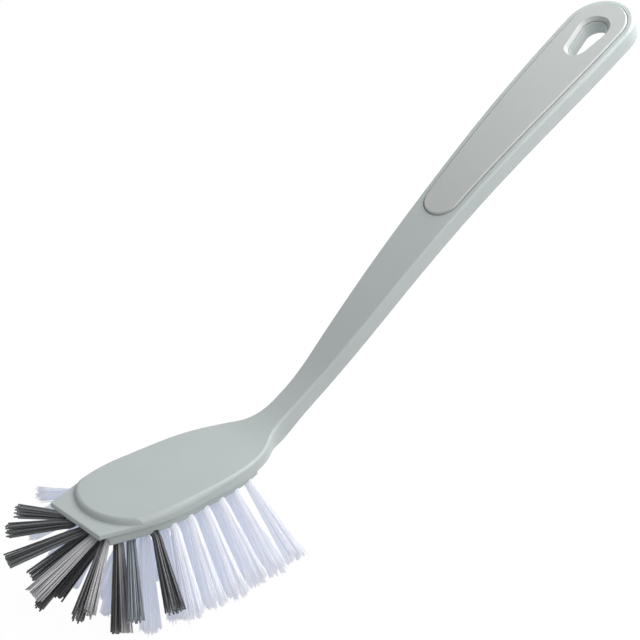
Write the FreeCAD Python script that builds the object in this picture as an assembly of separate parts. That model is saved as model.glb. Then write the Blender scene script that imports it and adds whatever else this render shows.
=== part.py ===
import FreeCAD, Part
import math
import os

os.makedirs("parts", exist_ok=True)
Vector = FreeCAD.Vector

# A dish brush lying head down: +X runs from the toe of the head to the end of the grip, +Z is up.
# While it is modelled, x = 0 is the front of the toe lip, y = 0 the middle, z = 0 the lip's top face.
# All lengths are millimetres and all angles degrees.

# Side line of the top face, from the toe to the centre of the rounded end
head_flat = 69.0
neck_bend_radius = 50.0
neck_bend_angle = 26.5
rise_bend_radius = 120.0
rise_bend_angle = 11.0
neck_join_angle = 3.5
rise_length = 31.0
arch_radius = 680.0
arch_angle = 8.7
grip_straight = 39.0

# Plan of the head, as half widths at distances from the toe
toe_half = 13.6
head_half = 19.2
toe_flare = 1.2
widest_x = 26.0
belly_half = 18.6
belly_x = 42.0
shoulder_half = 17.2
shoulder_x = 58.0
waist_half = 11.3
waist_x = 76.0
neck_half = 5.0
neck_x = 95.0
neck_overrun = 1.0

# Plan of the handle, as half widths at distances from the neck join
rise_half = 6.3
rise_at = 22.0
grip_half = 10.1
grip_at = 91.5
end_half = 14.5

# Thicknesses and roundings of the moulding
handle_thick = 7.1
lip_thick = 1.7
heel_thick = 3.6
heel_x = 85.0
heel_reach = 5.0
edge_round = 1.2
under_bevel = 0.4
head_round = 3.0
lip_round = 0.4
neck_grip = 8.0

# Raised pad on the head: its front is an arc with a sloping, rounded step
pad_rise = 2.0
pad_front_x = 4.8
pad_front_radius = 20.2
pad_draft = 0.8
pad_round = 1.7
pad_skim = 0.02

# Bed under the head, which holds the tufts
bed_inset = 1.5
bed_front_x = 3.4
bed_depth = 4.9
bed_corner_round = 3.2
bed_bevel = 0.8
bed_rear_x = 73.0
bed_rear_radius = 26.0

# Hang hole: a slot that narrows towards the neck, its wider end before the centre of the rounded end
hole_end_radius = 5.0
hole_neck_radius = 3.2
hole_reach = 10.5
hole_before_end = 2.4
hole_bevel = 0.6

# Grip panel, seated in a shallow recess
panel_margin = 2.7
panel_rise = 0.7
panel_seat = 1.1
panel_bevel = 0.5
panel_gap = 0.3
panel_hole_gap = 0.6
panel_hole_bevel = 1.2

# Tufts: each is folded over a flat anchor at the bottom of its own hole
tuft_hole_radius = 1.8
tuft_gap = 0.08
seat_lift = 1.8
hole_behind_seat = 4.2
hole_past_seat = 8.0
tuft_root = 4.2
tuft_bend = 2.5
tuft_sides = 8
white_length = 35.0
white_tip_radius = 4.2
coarse_length = 30.0
coarse_tip_radius = 2.7
anchor_fit = 0.03
anchor_thick = 0.4
anchor_height = 1.8
anchor_lift = 0.9
anchor_gap = 0.02

# Tuft pattern behind the toe: side columns that follow the head's edge, inner columns, one down the middle
tuft_pitch = 7.35
tuft_edge = 4.6
side_first_x = 20.6
side_count = 7
side_lean_angle = 52.0
side_turn_angle = 26.0
inner_first_x = 22.2
inner_count = 6
inner_edge = 11.2
inner_hole_angle = 15.0
inner_lean_angle = 36.0
inner_turn_angle = 33.0
middle_first_x = 25.4
middle_count = 6
middle_lean_angle = 26.0

# Toe rows, spread evenly across: place, lean of the holes, and how far the outer ones stay from the edge
front_x = 4.8
front_edge = 3.1
front_hole_angle = 60.0
front_fan_angle = 31.5
second_x = 12.4
second_bow = 2.5
second_edge = 4.8
second_hole_angle = 15.0
third_x = 18.0
third_half = 4.0

# Free ends of the toe tufts, from the far side to the near side: bearing, lean from straight down, and
# trim, the length as a share of the coarse length
front_row = [
    (105.0, 71.5, 0.83),
    (123.5, 70.5, 0.9),
    (155.0, 72.0, 0.97),
    (173.0, 58.5, 0.98),
    (214.5, 62.0, 0.97),
]
second_row = [
    (118.0, 50.0, 1.03),
    (112.0, 39.0, 1.0),
    (157.0, 51.5, 1.07),
    (172.0, 44.0, 1.03),
    (230.0, 37.0, 1.19),
    (232.0, 48.0, 1.03),
]
third_row = [
    (150.0, 26.0, 1.17),
    (206.0, 28.5, 1.17),
]
first_near = (250.0, 54.0, 1.03)
first_far = (104.5, 68.4, 1.0)

# Bearings in the plan, from +X
far_side_angle = 90.0
toe_angle = 180.0
near_side_angle = 270.0


class SideLine:
    """The top face's line in the XZ plane, or one parallel to it: straight runs and tangent arcs."""

    def __init__(self, depth):
        self.depth = depth
        self.point = Vector(0, 0, pad_rise - depth)
        self.pitch = 0.0
        self.edges = []
        self.run(head_flat)
        self.bend(neck_bend_radius, neck_bend_angle)
        self.bend(rise_bend_radius, neck_join_angle)
        self.head_edges = self.edges
        self.join = self.point
        self.join_along = self.along()
        self.edges = []
        self.bend(rise_bend_radius, rise_bend_angle - neck_join_angle)
        self.run(rise_length)
        self.bend(arch_radius, -arch_angle)
        self.run(grip_straight)
        self.end = self.point
        self.run(2 * end_half)
        self.handle_edges = self.edges

    def along(self):
        return Vector(math.cos(self.pitch), 0, math.sin(self.pitch))

    def normal(self):
        return Vector(-math.sin(self.pitch), 0, math.cos(self.pitch))

    def run(self, length):
        target = self.point + self.along() * length
        self.edges.append(Part.LineSegment(self.point, target).toShape())
        self.point = target

    def bend(self, radius, angle):
        reach = math.copysign(radius, angle) + self.depth
        centre = self.point + self.normal() * reach
        start = self.point
        self.pitch += math.radians(angle) / 2
        middle = centre - self.normal() * reach
        self.pitch += math.radians(angle) / 2
        self.point = centre - self.normal() * reach
        self.edges.append(Part.Arc(start, middle, self.point).toShape())


top_line = SideLine(0)
bottom_line = SideLine(handle_thick)
end_along = top_line.along()
end_normal = top_line.normal()
grip_length = (top_line.end - top_line.join).dot(end_along)
wide = 4 * head_half
touching = 0.01


def line(start, target):
    return Part.LineSegment(start, target).toShape()


def spline(points, first, last):
    curve = Part.BSplineCurve()
    curve.interpolate(Points=points, InitialTangent=first, FinalTangent=last)
    return curve.toShape()


def mirrored(edge):
    return edge.mirror(Vector(0, 0, 0), Vector(0, 1, 0))


def flipped(point):
    return Vector(point.x, -point.y, point.z)


def closed_face(edges):
    return Part.Face(Part.Wire(Part.__sortEdges__(edges)))


def flat_face(corners):
    return Part.Face(Part.makePolygon(corners + corners[:1]))


def across(edges):
    """Solid of a side view's outline, carried right across the brush."""
    face = closed_face(edges)
    face.translate(Vector(0, -wide / 2, 0))
    return face.extrude(Vector(0, wide, 0))


def head_outline(inset):
    """Plan of the head as a face at z = 0, drawn in by inset all round."""
    corner = Vector(inset, toe_half - inset, 0)
    neck = Vector(neck_x, neck_half - inset, 0)
    points = [
        corner,
        Vector(widest_x, head_half - inset, 0),
        Vector(belly_x, belly_half - inset, 0),
        Vector(shoulder_x, shoulder_half - inset, 0),
        Vector(waist_x, waist_half - inset, 0),
        neck,
    ]
    toe_slope = Vector(widest_x, toe_flare * (head_half - toe_half), 0)
    side = spline(points, toe_slope, Vector(1, 0, 0))
    rear = Vector(bottom_line.join.x + neck_overrun, neck.y, 0)
    straight = line(neck, rear)
    front = line(corner, Vector(corner.x, -corner.y, 0))
    back = line(rear, Vector(rear.x, -rear.y, 0))
    return closed_face([front, side, straight, back, mirrored(straight), mirrored(side)])


def on_grip(distance, y, height):
    """Point on the plane of the grip: along it from the neck join, across it, and above it."""
    return top_line.join + end_along * distance + Vector(0, y, 0) + end_normal * height


def grip_side(inset, height):
    """One edge of the handle's plan, on the plane of the grip, drawn in by inset."""
    points = [
        on_grip(0, neck_half - inset, height),
        on_grip(rise_at, rise_half - inset, height),
        on_grip(grip_at, grip_half - inset, height),
        on_grip(grip_length, end_half - inset, height),
    ]
    return spline(points, end_along, end_along)


def grip_outline(inset, height):
    """Plan of the handle from the neck join to its rounded end, on the plane of the grip."""
    side = grip_side(inset, height)
    radius = end_half - inset
    arc = Part.Arc(
        on_grip(grip_length, radius, height),
        on_grip(grip_length + radius, 0, height),
        on_grip(grip_length, -radius, height),
    ).toShape()
    neck = line(on_grip(0, neck_half - inset, height), on_grip(0, inset - neck_half, height))
    return closed_face([neck, side, arc, mirrored(side)])


def rounded(solid, radii):
    """Solid with rounded edges; radii lists edge numbers with the radius at each end of the edge."""
    document = FreeCAD.newDocument()
    base = document.addObject("Part::Feature", "Base")
    base.Shape = solid
    rounding = document.addObject("Part::Fillet", "Rounding")
    rounding.Base = base
    rounding.Edges = radii
    document.recompute()
    shape = rounding.Shape.copy()
    FreeCAD.closeDocument(document.Name)
    return shape.Solids[0]


def is_long(edge):
    """True for an edge that runs along the brush: not across it, not upright at the toe or the join."""
    box = edge.BoundBox
    crosses = box.YMin * box.YMax < 0
    upright = box.XLength < touching or abs(edge.Length - handle_thick) < touching
    return not crosses and not upright


def head_solid():
    """Head and half of the neck: the plan drawn upright through the side view, softer towards the toe."""
    toe_low = Vector(0, 0, -lip_thick)
    toe_high = Vector(0, 0, pad_rise)
    heel = Vector(heel_x, 0, -heel_thick)
    sweep = Part.BezierCurve()
    sweep.setPoles([
        heel,
        heel + (heel - toe_low).normalize() * heel_reach,
        bottom_line.join - bottom_line.join_along * neck_grip,
        bottom_line.join,
    ])
    side_view = across(top_line.head_edges + [
        line(top_line.join, bottom_line.join),
        sweep.toShape(),
        line(heel, toe_low),
        line(toe_low, toe_high),
    ])
    plan = head_outline(0)
    plan.translate(Vector(0, 0, -wide))
    solid = side_view.common(plan.extrude(Vector(0, 0, 2 * wide))).Solids[0]
    underside = line_surface([line(toe_low, heel), sweep.toShape()])
    solid = solid.makeChamfer(under_bevel, [edge for edge in edges_on(solid, [underside]) if is_long(edge)])
    upper = edges_on(solid, [line_surface(top_line.head_edges)])
    radii = []
    for number, edge in enumerate(solid.Edges, 1):
        if is_long(edge) and any(edge.isSame(top_edge) for top_edge in upper):
            ends = [edge.valueAt(end).x for end in edge.ParameterRange]
            softer = [max(0.0, 1 - x / head_flat) * (head_round - edge_round) for x in ends]
            radii.append((number, edge_round + softer[0], edge_round + softer[1]))
    corners = [toe_corner(0, 1), toe_corner(-lip_thick, -1)]
    return rounded(solid, radii).cut(toe_clearing()).cut(corners).Solids[0]


def toe_corner(z, side):
    """What a rounded corner leaves free along the front of the lip; side is 1 on top and -1 below."""
    start = Vector(0, 0, z - side * lip_round)
    target = Vector(lip_round, 0, z)
    centre = Vector(lip_round, 0, z - side * lip_round)
    middle = centre + Vector(-1, 0, side).normalize() * lip_round
    outer = [start - Vector(lip_round, 0, 0), Vector(-lip_round, 0, z + side * lip_round)]
    above = Vector(lip_round, 0, z + side * lip_round)
    return across([
        Part.Arc(start, middle, target).toShape(),
        line(target, above),
        line(above, outer[1]),
        line(outer[1], outer[0]),
        line(outer[0], start),
    ])


def handle_solid():
    """Handle from the neck to its rounded end: the plan on the grip's plane through the side view."""
    side_view = across(top_line.handle_edges + bottom_line.handle_edges + [
        line(top_line.join, bottom_line.join),
        line(top_line.point, bottom_line.point),
    ])
    plan = grip_outline(0, -wide)
    solid = side_view.common(plan.extrude(end_normal * 2 * wide)).Solids[0]
    lower = edges_on(solid, [line_surface(bottom_line.handle_edges)])
    solid = solid.makeChamfer(under_bevel, [edge for edge in lower if edge.BoundBox.XLength > touching])
    upper = edges_on(solid, [line_surface(top_line.handle_edges)])
    return solid.makeFillet(edge_round, [edge for edge in upper if edge.BoundBox.XLength > touching])


def toe_clearing():
    """What the moulding leaves free above the toe lip: the pad's front is a rounded, sloping arc."""
    high = pad_rise + pad_skim
    wall = Vector(-pad_draft, 0, pad_rise).normalize()
    outward = Vector(wall.z, 0, -wall.x)
    foot = Vector(pad_front_radius, 0, 0)
    brow = foot + wall * ((high - pad_round + outward.z * pad_round) / wall.z)
    centre = brow - outward * pad_round
    crown = centre + Vector(0, 0, pad_round)
    middle = centre + (outward + Vector(0, 0, 1)).normalize() * pad_round
    above = Vector(crown.x, 0, wide)
    beyond = Vector(wide, 0, wide)
    face = closed_face([
        line(foot, brow),
        Part.Arc(brow, middle, crown).toShape(),
        line(crown, above),
        line(above, beyond),
        line(beyond, Vector(wide, 0, 0)),
        line(Vector(wide, 0, 0), foot),
    ])
    ring = face.revolve(Vector(0, 0, 0), Vector(0, 0, 1), 180)
    ring.rotate(Vector(0, 0, 0), Vector(0, 0, 1), 90)
    ring.translate(Vector(pad_front_x + pad_front_radius, 0, 0))
    return ring


def bed_solid():
    """Block under the head: its plan a little inside the head's, with round corners and a bevelled edge."""
    low = -lip_thick - bed_depth
    plan = head_outline(bed_inset)
    plan.translate(Vector(0, 0, low))
    block = plan.extrude(Vector(0, 0, -low))
    rear_centre = bed_rear_x - bed_rear_radius
    rear = Part.makeCylinder(bed_rear_radius, -low, Vector(rear_centre, 0, low))
    front = Part.makeBox(rear_centre - bed_front_x, wide, -low, Vector(bed_front_x, -wide / 2, low))
    block = block.common(front.fuse(rear)).removeSplitter().Solids[0]
    upright = [edge for edge in block.Edges if edge.BoundBox.ZLength > bed_depth]
    corners = [edge for edge in upright if edge.BoundBox.XMax < widest_x]
    block = block.makeFillet(bed_corner_round, corners)
    lower = [edge for edge in block.Edges if edge.BoundBox.ZMax < low + touching]
    return block.makeChamfer(bed_bevel, lower)


def hang_hole(wider):
    """Slot right through the grip: two arcs joined by lines that touch both, all wider by a clearance."""
    end_centre = on_grip(grip_length - hole_before_end, 0, -wide)
    neck_centre = end_centre - end_along * hole_reach
    end_radius = hole_end_radius + wider
    neck_radius = hole_neck_radius + wider
    taper = math.asin((end_radius - neck_radius) / hole_reach)
    spoke = Vector(0, math.cos(taper), 0) - end_along * math.sin(taper)
    side = line(end_centre + spoke * end_radius, neck_centre + spoke * neck_radius)
    edges = [
        side,
        mirrored(side),
        Part.Arc(
            end_centre + spoke * end_radius,
            end_centre + end_along * end_radius,
            flipped(end_centre + spoke * end_radius),
        ).toShape(),
        Part.Arc(
            neck_centre + spoke * neck_radius,
            neck_centre - end_along * neck_radius,
            flipped(neck_centre + spoke * neck_radius),
        ).toShape(),
    ]
    return closed_face(edges).extrude(end_normal * 2 * wide)


def panel_solid(inset, bottom, top):
    """Grip panel between two depths, with its rounded lower end tangent to both tapered sides."""
    curve = grip_side(inset, -wide).Curve
    touch = on_grip(grip_at, grip_half - inset, -wide)
    end = on_grip(grip_length, end_half - inset, -wide)
    touch_at = curve.parameter(touch)
    taper = math.asin(curve.tangent(touch_at)[0].y)
    radius = (grip_half - inset) / math.cos(taper)
    low_end = on_grip(grip_at + radius * (math.sin(taper) - 1), 0, -wide)
    high_end = on_grip(grip_length + end_half - inset, 0, -wide)
    side = curve.toShape(touch_at, curve.parameter(end))
    plan = closed_face([
        side,
        mirrored(side),
        Part.Arc(touch, low_end, flipped(touch)).toShape(),
        Part.Arc(end, high_end, flipped(end)).toShape(),
    ])
    low = SideLine(bottom)
    high = SideLine(top)
    ends = [line(low.join, high.join), line(low.point, high.point)]
    slab = across(low.handle_edges + high.handle_edges + ends)
    return plan.extrude(end_normal * 2 * wide).common(slab).Solids[0]


def line_surface(edges):
    """Surface of a side line, carried right across the brush."""
    surface = Part.Wire(edges).extrude(Vector(0, wide, 0))
    surface.translate(Vector(0, -wide / 2, 0))
    return surface


def edges_on(solid, surfaces):
    """Edges of a solid that lie on all of the surfaces."""
    found = []
    for edge in solid.Edges:
        first, last = edge.ParameterRange
        points = [edge.valueAt(first), edge.valueAt((first + last) / 2), edge.valueAt(last)]
        vertexes = [Part.Vertex(point) for point in points]
        if all(vertex.distToShape(surface)[0] < touching for vertex in vertexes for surface in surfaces):
            found.append(edge)
    return found


def way(bearing, lean):
    """Direction that leans from straight down towards a bearing in the plan."""
    turn = math.radians(bearing)
    tilt = math.radians(lean)
    return Vector(math.sin(tilt) * math.cos(turn), math.sin(tilt) * math.sin(turn), -math.cos(tilt))


def head_half_at(x):
    """Half width of the head's plan at a distance from the toe."""
    plan = head_outline(0)
    cut = plan.common(line(Vector(x, -wide, 0), Vector(x, wide, 0)))
    return cut.BoundBox.YMax


class Tuft:
    """A bundle of filaments in its drilled hole, folded over its flat anchor."""

    def __init__(self, name, x, y, hole_bearing, hole_lean, bearing, lean, length, tip_radius):
        turn = math.radians(hole_bearing)
        self.name = name
        self.seat = Vector(x, y, seat_lift - bed_depth - lip_thick)
        self.way = way(hole_bearing, hole_lean)
        self.wide_way = Vector(-math.sin(turn), math.cos(turn), 0)
        self.thick_way = self.way.cross(self.wide_way)
        self.bottom = self.seat - self.way * hole_behind_seat
        self.tip = self.seat + way(bearing, lean) * length
        self.tip_radius = tip_radius

    def hole(self):
        """Drilled hole, with as many sides as the bundle has."""
        floor = flat_face(self.section(self.bottom, tuft_hole_radius))
        return floor.extrude(self.way * (hole_behind_seat + hole_past_seat))

    def anchor(self, gap):
        across_flats = tuft_hole_radius * math.cos(math.pi / tuft_sides)
        breadth = 2 * (across_flats - anchor_fit + gap)
        thick = anchor_thick + 2 * gap
        corner = Vector(-breadth / 2, -thick / 2, anchor_lift - gap)
        plate = Part.makeBox(breadth, thick, anchor_height + 2 * gap, corner)
        turned = FreeCAD.Rotation(self.wide_way, self.thick_way, self.way, "ZXY")
        plate.Placement = FreeCAD.Placement(self.bottom, turned)
        return plate

    def section(self, centre, radius):
        """Corners of the many-sided bundle, square to its hole."""
        corners = []
        for k in range(tuft_sides):
            turn = 2 * math.pi * (k + 0.5) / tuft_sides
            spoke = self.wide_way * math.cos(turn) + self.thick_way * math.sin(turn)
            corners.append(centre + spoke * radius)
        return corners

    def bundle(self):
        """Straight in the hole, then bent towards the tip and wider, with the anchor's slot through it."""
        root_radius = tuft_hole_radius - tuft_gap
        mouth = self.seat + self.way * tuft_root
        bend = mouth + self.way * tuft_bend
        curve = Part.BezierCurve()
        curve.setPoles([mouth, bend, self.tip])
        sections = [
            self.section(self.bottom + self.way * tuft_gap, root_radius),
            self.section(mouth, root_radius),
            self.section(curve.value(0.5), (root_radius + self.tip_radius) / 2),
            self.section(self.tip, self.tip_radius),
        ]
        faces = [flat_face(sections[0]), flat_face(sections[-1])]
        for low, high in zip(sections, sections[1:]):
            for k in range(tuft_sides):
                faces.append(flat_face([low[k - 1], low[k], high[k], high[k - 1]]))
        return Part.Solid(Part.Shell(faces)).cut(self.anchor(anchor_gap))


def spread(count, half):
    """Places across the head from its far side to its near side, evenly spaced."""
    return [half * (1 - 2 * k / (count - 1)) for k in range(count)]


def coarse(name, x, y, hole, free):
    """Tuft of coarse filament: hole is a bearing and a lean, free a bearing, a lean and a trim."""
    bearing, lean, trim = free
    return Tuft(name, x, y, *hole, bearing, lean, trim * coarse_length, coarse_tip_radius)


def white(name, x, y, hole, free):
    """Tuft of white filament: hole and free are each a bearing and a lean."""
    return Tuft(name, x, y, *hole, *free, white_length, white_tip_radius)


def toe_tufts():
    """Three rows across the toe, the second bowed back, of coarse filaments with their ends as they lie."""
    tufts = []
    front_half = toe_half - front_edge
    for k, y in enumerate(spread(len(front_row), front_half)):
        hole = (toe_angle - front_fan_angle * y / front_half, front_hole_angle)
        tufts.append(coarse(f"front_tuft_{k + 1}", front_x, y, hole, front_row[k]))
    second_half = head_half_at(second_x) - second_edge
    for k, y in enumerate(spread(len(second_row), second_half)):
        x = second_x + second_bow * (y / second_half) ** 2
        hole = (toe_angle, second_hole_angle)
        tufts.append(coarse(f"second_tuft_{k + 1}", x, y, hole, second_row[k]))
    for k, y in enumerate(spread(len(third_row), third_half)):
        tufts.append(coarse(f"third_tuft_{k + 1}", third_x, y, (far_side_angle, 0), third_row[k]))
    return tufts


def side_tufts():
    """One column along each edge, leaning well out; the first of each is a toe tuft."""
    tufts = []
    near_hole = (near_side_angle, side_lean_angle)
    far_hole = (far_side_angle, side_lean_angle)
    for k in range(side_count):
        x = side_first_x + k * tuft_pitch
        y = head_half_at(x) - tuft_edge
        turn = side_turn_angle * (1 - k / (side_count - 1))
        if k == 0:
            tufts.append(coarse("near_tuft_1", x, -y, near_hole, first_near))
            tufts.append(coarse("far_tuft_1", x, y, far_hole, first_far))
        else:
            near = (near_side_angle - turn, side_lean_angle)
            far = (far_side_angle + turn, side_lean_angle)
            tufts.append(white(f"near_tuft_{k + 1}", x, -y, near_hole, near))
            tufts.append(white(f"far_tuft_{k + 1}", x, y, far_hole, far))
    return tufts


def inner_tufts():
    """Two columns nearer the middle and one down the middle, fanned out to the sides and the front."""
    tufts = []
    near_hole = (near_side_angle, inner_hole_angle)
    far_hole = (far_side_angle, inner_hole_angle)
    for k in range(inner_count):
        x = inner_first_x + k * tuft_pitch
        y = head_half_at(x) - inner_edge
        turn = inner_turn_angle * (1 - k / (inner_count - 1))
        near = (near_side_angle - turn, inner_lean_angle)
        far = (far_side_angle + turn, inner_lean_angle)
        tufts.append(white(f"near_inner_tuft_{k + 1}", x, -y, near_hole, near))
        tufts.append(white(f"far_inner_tuft_{k + 1}", x, y, far_hole, far))
    for k in range(middle_count):
        x = middle_first_x + k * tuft_pitch
        lean = middle_lean_angle * (1 - k / (middle_count - 1))
        tufts.append(white(f"middle_tuft_{k + 1}", x, 0, (far_side_angle, 0), (toe_angle, lean)))
    return tufts


def moulding_solid(tufts):
    """Handle: head, neck, grip and bed in one, less the recess, the hang hole and the drilled holes."""
    hole = hang_hole(0)
    solid = head_solid().fuse(handle_solid()).fuse(bed_solid()).removeSplitter()
    solid = solid.cut(panel_solid(panel_margin - panel_gap, panel_seat, -wide)).cut(hole).Solids[0]
    rim = edges_on(solid, [line_surface(bottom_line.handle_edges), hole.Shells[0]])
    solid = solid.makeChamfer(hole_bevel, rim)
    holes = Part.makeCompound([tuft.hole() for tuft in tufts])
    return solid.cut(holes).Solids[0]


def grip_panel_solid():
    """Grip panel with bevelled edges, pierced by a slightly wider hang hole."""
    top_surface = line_surface(SideLine(-panel_rise).handle_edges)
    hole = hang_hole(panel_hole_gap)
    solid = panel_solid(panel_margin, panel_seat, -panel_rise)
    solid = solid.makeChamfer(panel_bevel, edges_on(solid, [top_surface]))
    solid = solid.cut(hole).Solids[0]
    return solid.makeChamfer(panel_hole_bevel, edges_on(solid, [top_surface, hole.Shells[0]]))


tufts = toe_tufts() + side_tufts() + inner_tufts()
nodes = {"handle": moulding_solid(tufts), "grip_panel": grip_panel_solid()}
for tuft in tufts:
    nodes[tuft.name] = tuft.bundle()
nodes["tuft_anchors"] = Part.makeCompound([tuft.anchor(0) for tuft in tufts])

whole = Part.makeCompound(list(nodes.values())).optimalBoundingBox()
to_origin = Vector(-whole.Center.x, -whole.Center.y, -whole.ZMin)
for name, shape in nodes.items():
    shape.translate(to_origin)
    shape.exportStep(f"parts/{name}.step")
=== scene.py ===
import math

import bpy
import numpy as np
from mathutils import Matrix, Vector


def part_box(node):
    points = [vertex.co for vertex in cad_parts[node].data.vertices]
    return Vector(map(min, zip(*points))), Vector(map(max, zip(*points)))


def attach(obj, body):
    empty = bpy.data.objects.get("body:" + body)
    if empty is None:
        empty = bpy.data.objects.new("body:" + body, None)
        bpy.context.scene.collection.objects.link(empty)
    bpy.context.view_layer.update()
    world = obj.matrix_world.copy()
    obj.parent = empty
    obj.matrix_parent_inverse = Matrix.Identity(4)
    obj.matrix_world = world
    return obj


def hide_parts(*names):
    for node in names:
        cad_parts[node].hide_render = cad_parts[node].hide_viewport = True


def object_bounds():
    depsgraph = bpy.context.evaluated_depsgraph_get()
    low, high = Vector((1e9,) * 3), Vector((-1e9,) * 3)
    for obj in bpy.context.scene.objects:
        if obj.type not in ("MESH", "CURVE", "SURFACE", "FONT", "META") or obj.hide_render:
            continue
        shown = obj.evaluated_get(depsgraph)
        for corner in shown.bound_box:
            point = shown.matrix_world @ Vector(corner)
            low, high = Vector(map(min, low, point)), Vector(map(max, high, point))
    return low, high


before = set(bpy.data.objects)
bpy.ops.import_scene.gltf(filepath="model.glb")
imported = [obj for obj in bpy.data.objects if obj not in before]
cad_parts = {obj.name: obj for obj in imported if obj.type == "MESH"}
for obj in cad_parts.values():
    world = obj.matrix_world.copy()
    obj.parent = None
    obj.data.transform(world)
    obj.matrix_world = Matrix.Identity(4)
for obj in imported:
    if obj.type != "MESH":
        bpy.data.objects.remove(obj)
cad_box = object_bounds()

# Handle
# Head, neck and grip in one injection moulding of grey-green polypropylene, with the hang hole through its
# end. It comes out of a polished mould, so it is satin smooth with softly rounded edges.

MM = 0.001


def linear(hex_colour):
    """Linear RGBA of an sRGB hex colour: a straight foot, then a power of 2.4."""
    channels = np.array([int(hex_colour[k:k + 2], 16) for k in (1, 3, 5)]) / 255
    curve = np.where(channels <= 0.04045, channels / 12.92, ((channels + 0.055) / 1.055) ** 2.4)
    return (*curve.tolist(), 1.0)


def node(owner, kind, settings=None, inputs=None):
    """Adds a node to a material or world: settings are properties, inputs are values or sockets to link."""
    tree = owner.node_tree
    added = tree.nodes.new(kind)
    for name, value in (settings or {}).items():
        setattr(added, name, value)
    for name, value in (inputs or {}).items():
        if isinstance(value, bpy.types.NodeSocket):
            tree.links.new(value, added.inputs[name])
        else:
            added.inputs[name].default_value = value
    return added


def new_material(name):
    """Material without any nodes yet."""
    material = bpy.data.materials.new(name)
    material.use_nodes = True
    material.node_tree.nodes.clear()
    return material


def moulded_plastic(name, pale, deep, roughness):
    """Moulded polypropylene. To the eye it is satin: broad soft highlights, faint clouds of tint where the
    melt flowed, and the slight waviness of the mould's polish. The real waves are finer than a pixel, so
    they are drawn as wide as they need to be to show as waves and not as sparkle."""
    flow_width, flow_detail = 18 * MM, 3.0
    wave_width, wave_detail = 3 * MM, 1.0
    wave_depth, wave_strength = 0.02 * MM, 0.2
    sheen_change = 0.03
    plastic_ior = 1.49
    material = new_material(name)
    place = node(material, "ShaderNodeTexCoord").outputs["Object"]
    flow = node(material, "ShaderNodeTexNoise", {}, {
        "Vector": place,
        "Scale": 1 / flow_width,
        "Detail": flow_detail,
    })
    tint = node(material, "ShaderNodeMix", {"data_type": "RGBA"}, {
        "Factor": flow.outputs["Fac"],
        "A": linear(pale),
        "B": linear(deep),
    })
    wave = node(material, "ShaderNodeTexNoise", {}, {
        "Vector": place,
        "Scale": 1 / wave_width,
        "Detail": wave_detail,
    })
    bump = node(material, "ShaderNodeBump", {}, {
        "Height": wave.outputs["Fac"],
        "Strength": wave_strength,
        "Distance": wave_depth,
    })
    sheen = node(material, "ShaderNodeMapRange", {}, {
        "Value": wave.outputs["Fac"],
        "To Min": roughness - sheen_change,
        "To Max": roughness + sheen_change,
    })
    shader = node(material, "ShaderNodeBsdfPrincipled", {}, {
        "Base Color": tint.outputs["Result"],
        "Roughness": sheen.outputs["Result"],
        "Normal": bump.outputs["Normal"],
        "IOR": plastic_ior,
    })
    node(material, "ShaderNodeOutputMaterial", {}, {"Surface": shader.outputs["BSDF"]})
    return material


handle_plastic = moulded_plastic("moulded polypropylene", pale="#ACB5B4", deep="#A6AFAE", roughness=0.42)
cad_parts["handle"].data.materials[0] = handle_plastic

# Grip panel
# A raised panel of the same polypropylene, a shade more neutral and a little duller. It is seated in the
# shallow recess of the grip, and the hang hole goes through both.

panel_name = "moulded panel polypropylene"
panel_plastic = moulded_plastic(panel_name, pale="#ABB0AE", deep="#A5AAA8", roughness=0.44)
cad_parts["grip_panel"].data.materials[0] = panel_plastic

# Tuft anchors
# Flat staples cut from galvanised steel strip, one driven across the bottom of each drilled hole, in the
# fold of its tuft. Zinc gives the eye a dull grey metal with small crystals that differ a little in tone.

spangle_width = 0.8 * MM
zinc_roughness = 0.35
steel = new_material("galvanised steel strip")
place = node(steel, "ShaderNodeTexCoord").outputs["Object"]
spangle = node(steel, "ShaderNodeTexVoronoi", {}, {"Vector": place, "Scale": 1 / spangle_width})
zinc = node(steel, "ShaderNodeMix", {"data_type": "RGBA"}, {
    "Factor": spangle.outputs["Distance"],
    "A": linear("#BFBFBD"),
    "B": linear("#A4A6A8"),
})
shader = node(steel, "ShaderNodeBsdfPrincipled", {}, {
    "Base Color": zinc.outputs["Result"],
    "Metallic": 1.0,
    "Roughness": zinc_roughness,
})
node(steel, "ShaderNodeOutputMaterial", {}, {"Surface": shader.outputs["BSDF"]})
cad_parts["tuft_anchors"].data.materials[0] = steel

# Toe tufts
# Bundles of coarse drawn nylon filament in dark grey, black and silver-grey, each folded over its anchor
# and driven into its own hole: a front row, a second row and two tufts behind it. Two of the second row and
# the two behind are of fine white filament.

# The head's plan and its holes, in millimetres, with x from the front of the toe; a tuft's fold lies
# tuft_behind further in than its seat
toe_half = 13.6
widest_half = 19.2
widest_x = 26.0
toe_flare = 1.2
head_plan = [(0, toe_half), (widest_x, widest_half), (42, 18.6), (58, 17.2), (76, 11.3), (95, 5.0)]
tuft_hole_radius = 1.72
tuft_behind = 4.0
seat_above_bed_low = 1.8
toe_front, _, bed_low = [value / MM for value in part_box("handle")[0]]
box_low, box_high = [np.array(corner) / MM for corner in cad_box]

# Bearings in the plan, in degrees from the grip's direction
far_side, toe, near_side = 90.0, 180.0, 270.0


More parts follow.
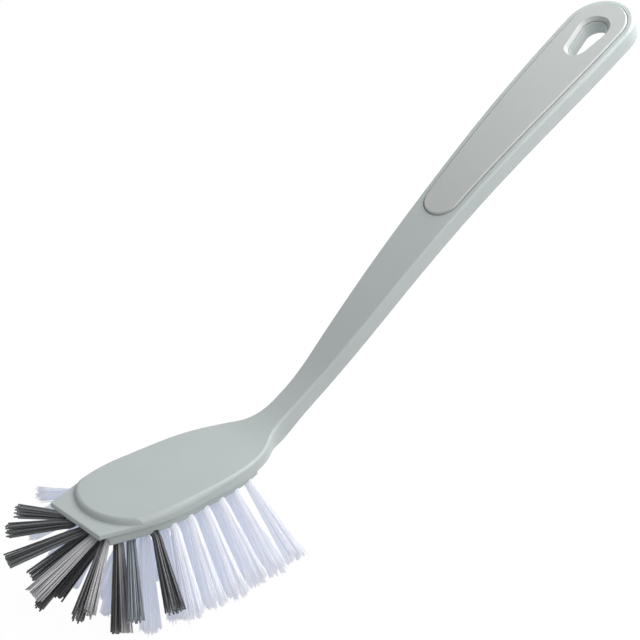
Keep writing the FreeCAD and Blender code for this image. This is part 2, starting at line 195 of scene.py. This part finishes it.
def smooth_curve(points, end_slopes):
    """Cubic spline through points, with given slopes at its two ends; returns the function of x.
    The slopes at the points solve the usual three-term system for a curve with unbroken curvature."""
    x, y = np.array(points, float).T
    gap = np.diff(x)
    rise = np.diff(y) / gap
    system = np.eye(len(x))
    right = np.zeros(len(x))
    right[[0, -1]] = end_slopes
    inner = np.arange(1, len(x) - 1)
    system[inner, inner - 1] = gap[1:]
    system[inner, inner] = 2 * (gap[:-1] + gap[1:])
    system[inner, inner + 1] = gap[:-1]
    right[inner] = 3 * (gap[1:] * rise[:-1] + gap[:-1] * rise[1:])
    slope = np.linalg.solve(system, right)

    def value(at):
        """Height at one x: its span's two points and their slopes, blended by cubics of the share t."""
        k = np.clip(np.searchsorted(x, at) - 1, 0, len(gap) - 1)
        t = (at - x[k]) / gap[k]
        first = (1 + 2 * t) * (1 - t) ** 2 * y[k] + t * (1 - t) ** 2 * gap[k] * slope[k]
        return float(first + t * t * (3 - 2 * t) * y[k + 1] + t * t * (t - 1) * gap[k] * slope[k + 1])

    return value


head_half_at = smooth_curve(head_plan, (toe_flare * (widest_half - toe_half) / widest_x, 0.0))


def way(bearing, lean):
    """Direction that leans from straight down towards a bearing in the plan, both in degrees."""
    turn, tilt = np.radians(bearing), np.radians(lean)
    return np.array([np.sin(tilt) * np.cos(turn), np.sin(tilt) * np.sin(turn), -np.cos(tilt)])


def square_to(along):
    """Two directions square to each given one and to each other: its cross product with a direction that
    no tuft or lamp follows, and its cross product with that."""
    aside = (0.87, 0.3, 0.38)
    first = np.cross(along, aside)
    first /= np.linalg.norm(first, axis=-1, keepdims=True)
    return first, np.cross(along, first)


def tube_mesh(name, lines, radii, sides, shade):
    """Closed many-sided tubes along lines[tube, point, xyz] in millimetres, with radii[tube], shade[tube].
    A corner is the line's point plus the radius times cos a and sin a in two directions square to it."""
    tubes, points, _ = lines.shape
    along = np.gradient(lines, axis=1)
    first, second = square_to(along / np.linalg.norm(along, axis=2, keepdims=True))
    angle = 2 * np.pi * np.arange(sides) / sides
    spokes = first[:, :, None] * np.cos(angle)[:, None] + second[:, :, None] * np.sin(angle)[:, None]
    corners = lines[:, :, None] + spokes * radii[:, None, None, None]
    number = np.arange(tubes * points * sides).reshape(tubes, points, sides)
    beside = np.roll(number, -1, axis=2)
    walls = np.stack([number[:, :-1], beside[:, :-1], beside[:, 1:], number[:, 1:]], axis=-1)
    walls = walls.reshape(-1, 4)
    caps = np.concatenate([number[:, 0, ::-1], number[:, -1]])
    mesh = bpy.data.meshes.new(name)
    mesh.vertices.add(number.size)
    mesh.vertices.foreach_set("co", (corners * MM).ravel())
    mesh.loops.add(walls.size + caps.size)
    mesh.loops.foreach_set("vertex_index", np.concatenate([walls.ravel(), caps.ravel()]))
    mesh.polygons.add(len(walls) + len(caps))
    starts = [4 * np.arange(len(walls)), walls.size + sides * np.arange(len(caps))]
    mesh.polygons.foreach_set("loop_start", np.concatenate(starts))
    mesh.polygons.foreach_set("use_smooth", np.arange(len(walls) + len(caps)) < len(walls))
    mesh.update(calc_edges=True)
    mesh.validate()
    tone = mesh.attributes.new("shade", "FLOAT", "POINT")
    tone.data.foreach_set("value", np.repeat(shade, points * sides).astype(np.float32))
    return mesh


def filament_tuft(name, x, y, hole, free, length, kind):
    """Tuft of filaments that stand on a sunflower spiral over a disc, which widens evenly to the tip.
    Each runs straight in the hole. Past its mouth, at share s of the way, it is on the straight line to
    the tip, plus the lag between the hole's direction and that line times s (1 - s) to a power, so that
    the bend dies away. A clump is a sector of the inner or outer ring, and its tips gather towards their
    middle. Tips stop box_margin radii inside the CAD box."""
    clump_sectors = 7
    clump_ring = 0.6
    hole_hold = 24
    stations = 8
    station_crowding = 1.5
    own_tone = 0.2
    box_margin = 2
    thinnest = 0.92
    golden_turn = math.pi * (3 - math.sqrt(5))
    chance = np.random.default_rng(list(name.encode()))
    count = kind["count"]
    hole_way = way(*hole)
    seat = np.array([toe_front + x, y, bed_low + seat_above_bed_low])
    mouth = seat + hole_way * kind["root"]
    chord = seat + way(*free) * length - mouth
    reach = np.linalg.norm(chord)
    lag = hole_way * reach - chord

    k = np.arange(count)
    turn = k * golden_turn
    first, second = square_to(chord / reach)
    spoke = first * np.cos(turn)[:, None] + second * np.sin(turn)[:, None]
    across = spoke * np.sqrt((k + 0.5) / count)[:, None]
    outer = k + 0.5 > clump_ring ** 2 * count
    clump = (turn / (2 * math.pi) % 1 * clump_sectors).astype(int) + clump_sectors * outer
    size = np.maximum(np.bincount(clump, minlength=2 * clump_sectors), 1)
    middle = np.stack([np.bincount(clump, part, 2 * clump_sectors) / size for part in across.T], axis=1)
    tip_across = across + kind["gather"] * (middle[clump] - across)
    root_radius = tuft_hole_radius - kind["radius"]
    tip_radius = kind["tip"]

    stray = chance.normal(0, kind["stray"], (count, 3)) * chance.random((count, 1)) ** 2
    shade = chance.random(count)
    if "pale_side" in kind:
        shade = own_tone * shade + (1 - own_tone) * (across @ way(*kind["pale_side"]) > 0)
    ends = mouth + chord + tip_across * tip_radius + stray
    margin = box_margin * kind["radius"]
    room = (np.clip(ends, box_low + margin, box_high - margin) - mouth) / (ends - mouth)
    ragged = abs(chance.normal(size=count)) * kind["ragged"]
    uneven = abs(chance.normal(size=2 * clump_sectors))[clump] * kind["uneven"]
    share = room.min(axis=1) - ragged - uneven - kind["step"] * shade

    s = share[:, None, None] * (np.linspace(0, 1, stations) ** station_crowding)[None, :, None]
    lines = mouth + chord * s + lag * s * (1 - s) ** hole_hold
    lines = lines + across[:, None] * root_radius * (1 - s) + tip_across[:, None] * tip_radius * s
    lines = lines + stray[:, None] * s ** 2
    bottom = seat - hole_way * tuft_behind + across * root_radius
    lines = np.concatenate([bottom[:, None], lines], axis=1)
    radii = kind["radius"] * chance.uniform(thinnest, 1.0, count)
    mesh = tube_mesh(name, lines, radii, kind["sides"], shade)
    mesh.materials.append(kind["material"])
    tuft = bpy.data.objects.new(name + "_filaments", mesh)
    bpy.context.scene.collection.objects.link(tuft)
    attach(tuft, "root")
    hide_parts(name)


def drawn_nylon(name, deep, pale, roughness=0.3, painted_glow=0.0):
    """Drawn nylon filament. To the eye each is a smooth thread with a fine bright line along it and a shade
    of its own. White nylon is duller, and it is given a painted blue glow: emission that stands in for the
    light scattered through its bundles and paints blue shade between the filaments."""
    nylon_ior = 1.53
    # Painted light: this emission colour and strength make a painted blue glow that brightens white bundles
    # and tints the shade between their filaments blue.
    painted_glow_colour = "#CED8F5"
    material = new_material(name)
    shade = node(material, "ShaderNodeAttribute", {"attribute_name": "shade"}).outputs["Fac"]
    tint = node(material, "ShaderNodeMix", {"data_type": "RGBA"}, {
        "Factor": shade,
        "A": linear(deep),
        "B": linear(pale),
    })
    shader = node(material, "ShaderNodeBsdfPrincipled", {}, {
        "Base Color": tint.outputs["Result"],
        "Roughness": roughness,
        "IOR": nylon_ior,
        "Emission Color": linear(painted_glow_colour),
        "Emission Strength": painted_glow,
    })
    node(material, "ShaderNodeOutputMaterial", {}, {"Surface": shader.outputs["BSDF"]})
    return material


dark_nylon = drawn_nylon("dark grey nylon filament", "#303437", "#767B7E")
black_nylon = drawn_nylon("black nylon filament", "#232428", "#3E3F44")
silver_nylon = drawn_nylon("silver grey nylon filament", "#AEB0B4", "#DCDDE1")
grey_nylon = drawn_nylon("grey nylon filament", "#626C72", "#99A4AC")
mixed_nylon = drawn_nylon("dark and silver grey nylon filament", "#3A3A3A", "#B4B5B8")
# The white filament's glow is painted light, standing in for light scattered through the tufts.
white_nylon = drawn_nylon("white nylon filament", "#DEDEDD", "#EAEAE9", roughness=0.4, painted_glow=0.26)

# Kinds of tuft, in millimetres. count, radius and sides are the filaments' own, root is the length held
# straight in the hole, tip the tuft's radius at its end, and stray how far tips wander. gather is how far
# the tips of a clump close up. ragged, uneven and step are shares of the length that filaments, clumps and
# pale strands fall short by. pale_side is the bearing and lean towards which the strands are paler.
coarse = {
    "count": 22, "radius": 0.32, "sides": 6,
    "root": 4.2, "tip": 2.7, "stray": 0.25, "gather": 0.0,
    "ragged": 0.015, "uneven": 0.0, "step": 0.0,
}
fine = {
    "count": 220, "radius": 0.11, "sides": 4,
    "root": 4.2, "tip": 4.2, "stray": 0.8, "gather": 0.45,
    "ragged": 0.02, "uneven": 0.045, "step": 0.0,
}
heel_near = (315.0, 90.0)
dark = {**coarse, "slot": "dark_filament", "material": dark_nylon}
black = {**coarse, "slot": "black_filament", "material": black_nylon}
silver = {**coarse, "slot": "silver_filament", "material": silver_nylon}
grey = {**coarse, "slot": "grey_filament", "material": grey_nylon}
mixed = {**coarse, "slot": "silver_filament", "material": mixed_nylon, "pale_side": heel_near}
white = {**fine, "slot": "white_filament", "material": white_nylon}
short_white = {**white, "tip": 2.7}
spread_dark = {**dark, "count": 30, "tip": 3.6}
spread_silver = {**silver, "count": 30, "tip": 3.4}
spread_grey = {**grey, "count": 26, "tip": 3.1}
spread_black = {**black, "count": 34, "tip": 4.0, "pale_side": heel_near, "step": 0.24}
spread_mixed = {**mixed, "count": 38, "tip": 4.2, "step": 0.1}
streaked = {**mixed, "slot": "dark_filament", "count": 32, "tip": 3.8}

# Toe rows from the far side to the near side: the bearing and lean of the free end, the trim, which is the
# length as a share of the coarse length, and the kind
coarse_length = 30.0
front_x = 4.8
front_edge = 3.1
front_half = toe_half - front_edge
front_lean = 60.0
front_fan = 31.5
front_root = 2.0
front_row = [
    (105.0, 71.5, 0.79, dark),
    (123.5, 70.5, 0.9, dark),
    (155.0, 72.0, 0.97, dark),
    (173.0, 58.5, 0.98, spread_silver),
    (214.5, 62.0, 1.0, spread_mixed),
]
for k, (bearing, lean, trim, kind) in enumerate(front_row):
    y = front_half * (1 - 2 * k / (len(front_row) - 1))
    hole = (toe - front_fan * y / front_half, front_lean)
    kind = {**kind, "root": front_root}
    filament_tuft(f"front_tuft_{k + 1}", front_x, y, hole, (bearing, lean), trim * coarse_length, kind)

second_x = 12.4
second_bow = 2.5
second_edge = 4.8
second_half = head_half_at(second_x) - second_edge
second_lean = 15.0
second_row = [
    (118.0, 50.0, 1.03, short_white),
    (112.0, 39.0, 1.0, short_white),
    (157.0, 51.5, 1.07, dark),
    (172.0, 46.0, 1.28, spread_black),
    (230.0, 37.0, 1.19, streaked),
    (232.0, 48.0, 1.03, spread_grey),
]
for k, (bearing, lean, trim, kind) in enumerate(second_row):
    y = second_half * (1 - 2 * k / (len(second_row) - 1))
    x = second_x + second_bow * (y / second_half) ** 2
    hole = (toe, second_lean)
    filament_tuft(f"second_tuft_{k + 1}", x, y, hole, (bearing, lean), trim * coarse_length, kind)

third_x = 18.0
third_half = 4.0
straight_down = (toe, 0.0)
third_row = [
    (third_half, 150.0, 26.0, 1.17),
    (-third_half, 206.0, 28.5, 1.17),
]
for k, (y, bearing, lean, trim) in enumerate(third_row):
    length = trim * coarse_length
    filament_tuft(f"third_tuft_{k + 1}", third_x, y, straight_down, (bearing, lean), length, short_white)

# Side tufts
# Fine white nylon filament in a column along each edge of the head, each tuft driven into a hole that leans
# well out. The first of each column is trimmed with the toe tufts, and the near one of those is of coarse
# dark filament.

white_length = 36.0
pitch = 7.35
side_count = 7
side_first_x = 20.6
side_edge = 4.6
side_lean = 52.0
side_turn = 26.0
first_near, first_near_trim = (250.0, 54.0), 1.03
first_far, first_far_trim = (104.5, 68.4), 1.0
near_hole = (near_side, side_lean)
far_hole = (far_side, side_lean)
for k in range(side_count):
    x = side_first_x + k * pitch
    y = head_half_at(x) - side_edge
    turn = side_turn * (1 - k / (side_count - 1))
    if k == 0:
        near_length, far_length = first_near_trim * coarse_length, first_far_trim * coarse_length
        filament_tuft("near_tuft_1", x, -y, near_hole, first_near, near_length, spread_dark)
        filament_tuft("far_tuft_1", x, y, far_hole, first_far, far_length, short_white)
    else:
        near = (near_side - turn, side_lean)
        far = (far_side + turn, side_lean)
        filament_tuft(f"near_tuft_{k + 1}", x, -y, near_hole, near, white_length, white)
        filament_tuft(f"far_tuft_{k + 1}", x, y, far_hole, far, white_length, white)

# Inner tufts
# The same white nylon filament, driven into two columns of holes nearer the middle and one down the middle.
# They fan out to the sides and to the front, so that the free ends fill the space under the head.

inner_count = 6
inner_first_x = 22.2
inner_edge = 11.2
inner_hole_lean = 15.0
inner_lean = 36.0
inner_turn = 33.0
middle_first_x = 25.4
middle_lean = 26.0
front_extra = 0.1
near_hole = (near_side, inner_hole_lean)
far_hole = (far_side, inner_hole_lean)
for k in range(inner_count):
    x = inner_first_x + k * pitch
    y = head_half_at(x) - inner_edge
    left = 1 - k / (inner_count - 1)
    near = (near_side - inner_turn * left, inner_lean)
    far = (far_side + inner_turn * left, inner_lean)
    middle = (toe, middle_lean * left)
    middle_x = middle_first_x + k * pitch
    length = white_length * (1 + front_extra * left)
    filament_tuft(f"near_inner_tuft_{k + 1}", x, -y, near_hole, near, length, white)
    filament_tuft(f"far_inner_tuft_{k + 1}", x, y, far_hole, far, length, white)
    filament_tuft(f"middle_tuft_{k + 1}", middle_x, 0.0, straight_down, middle, white_length, white)

# Floor and light
# A sweep of white paper in a white room, both white to the camera and in reflections. Four softboxes light
# the brush: one above the grip, one behind it, and a fill from each side, of which the near one is stronger.

floor_half = 4.0
floor_corners = floor_half * np.array([(-1, -1, 0), (1, -1, 0), (1, 1, 0), (-1, 1, 0)])
floor_mesh = bpy.data.meshes.new("floor")
floor_mesh.from_pydata(floor_corners.tolist(), [], [(0, 1, 2, 3)])
floor = bpy.data.objects.new("floor", floor_mesh)
bpy.context.scene.collection.objects.link(floor)


def seen_share(owner, most):
    """How white a background is to a ray: the given most for rays from the camera, off a glossy surface or
    through a clear one, and 0 for the others, which carry the light and the shadow."""
    rays = node(owner, "ShaderNodeLightPath").outputs
    share = rays["Is Camera Ray"]
    for other in ("Is Glossy Ray", "Is Transmission Ray"):
        both = {0: share, 1: rays[other]}
        share = node(owner, "ShaderNodeMath", {"operation": "MAXIMUM"}, both).outputs[0]
    return node(owner, "ShaderNodeMath", {"operation": "MULTIPLY"}, {0: share, 1: most}).outputs[0]


# Paper: matt, which gives the eye a plain white with a faint soft shadow
paper_white_share = 0.9
paper_white_level = 1.06
paper = new_material("white paper sweep")
paper_matt = node(paper, "ShaderNodeBsdfDiffuse", {}, {"Color": linear("#DCDCDC")})
paper_white = node(paper, "ShaderNodeEmission", {}, {
    "Color": linear("#FFFFFF"),
    "Strength": paper_white_level,
})
paper_mix = node(paper, "ShaderNodeMixShader", {}, {
    0: seen_share(paper, paper_white_share),
    1: paper_matt.outputs[0],
    2: paper_white.outputs[0],
})
node(paper, "ShaderNodeOutputMaterial", {}, {"Surface": paper_mix.outputs[0]})
floor_mesh.materials.append(paper)

room_fill = 0.34
room_white = 1.0
room = bpy.data.worlds.new("white room")
room.use_nodes = True
room.node_tree.nodes.clear()
room_level = node(room, "ShaderNodeMapRange", {}, {
    "Value": seen_share(room, 1.0),
    "To Min": room_fill,
    "To Max": room_white,
})
room_light = node(room, "ShaderNodeBackground", {}, {
    "Color": linear("#FFFFFF"),
    "Strength": room_level.outputs["Result"],
})
node(room, "ShaderNodeOutputWorld", {}, {"Surface": room_light.outputs[0]})
bpy.context.scene.world = room


def stand(right, up, back, place):
    """World matrix whose columns are a lamp's or camera's own three directions and its place in metres."""
    return Matrix([*np.column_stack([right, up, back, place]).tolist(), (0, 0, 0, 1)])


def softbox(name, place, target, size, power, colour="#FFFFFF"):
    """Square area lamp at a place in metres, its back along the line from the target to the place."""
    lamp = bpy.data.lights.new(name, "AREA")
    lamp.size = size
    lamp.energy = power
    lamp.color = linear(colour)[:3]
    lamp_object = bpy.data.objects.new(name, lamp)
    bpy.context.scene.collection.objects.link(lamp_object)
    back = np.array(place) - np.array(target)
    back /= np.linalg.norm(back)
    side, up = square_to(back)
    lamp_object.matrix_world = stand(side, up, back, place)


softbox("softbox above the grip", (0.26, -0.08, 0.33), (0.1, 0.0, 0.13), size=0.32, power=1.35)
softbox("softbox behind the grip", (0.58, -0.09, 0.63), (-0.05, 0.0, 0.05), size=0.4, power=1.2)
softbox("far fill", (0.0, 0.9, 0.6), (0.0, 0.0, 0.06), size=0.7, power=1.4)
softbox("near fill", (-0.1, -0.8, 0.75), (-0.02, 0.0, 0.06), size=0.7, power=5.0, colour="#FFF9F9")

# Camera
# It stands at the photograph's viewing angle, above the near side of the toe, with a long lens and a slight
# roll. Its place is given in millimetres from the middle of the toe lip's front edge.

lip_to_bed_low = 6.6
eye_from_toe = (-305.02, -436.19, 355.17)
azimuth, elevation, roll = np.radians([-43.636, 27.913, 0.975])
focal_pixels, frame_pixels = 1902.5, 640
toe_lip = np.array([toe_front, 0.0, bed_low + lip_to_bed_low])
eye = (toe_lip + eye_from_toe) * MM
level_right = np.array([np.cos(azimuth), np.sin(azimuth), 0.0])
level_back = np.array([np.sin(azimuth), -np.cos(azimuth), 0.0])
back = level_back * np.cos(elevation) + np.array([0.0, 0.0, np.sin(elevation)])
level_up = np.cross(back, level_right)
right = level_right * np.cos(roll) + level_up * np.sin(roll)
up = np.cross(back, right)
camera = bpy.data.cameras.new("camera")
camera.lens = camera.sensor_width * (focal_pixels / frame_pixels)
camera_object = bpy.data.objects.new("camera", camera)
bpy.context.scene.collection.objects.link(camera_object)
camera_object.matrix_world = stand(right, up, back, eye)
bpy.context.scene.camera = camera_object
bpy.context.scene.view_settings.view_transform = "Standard"
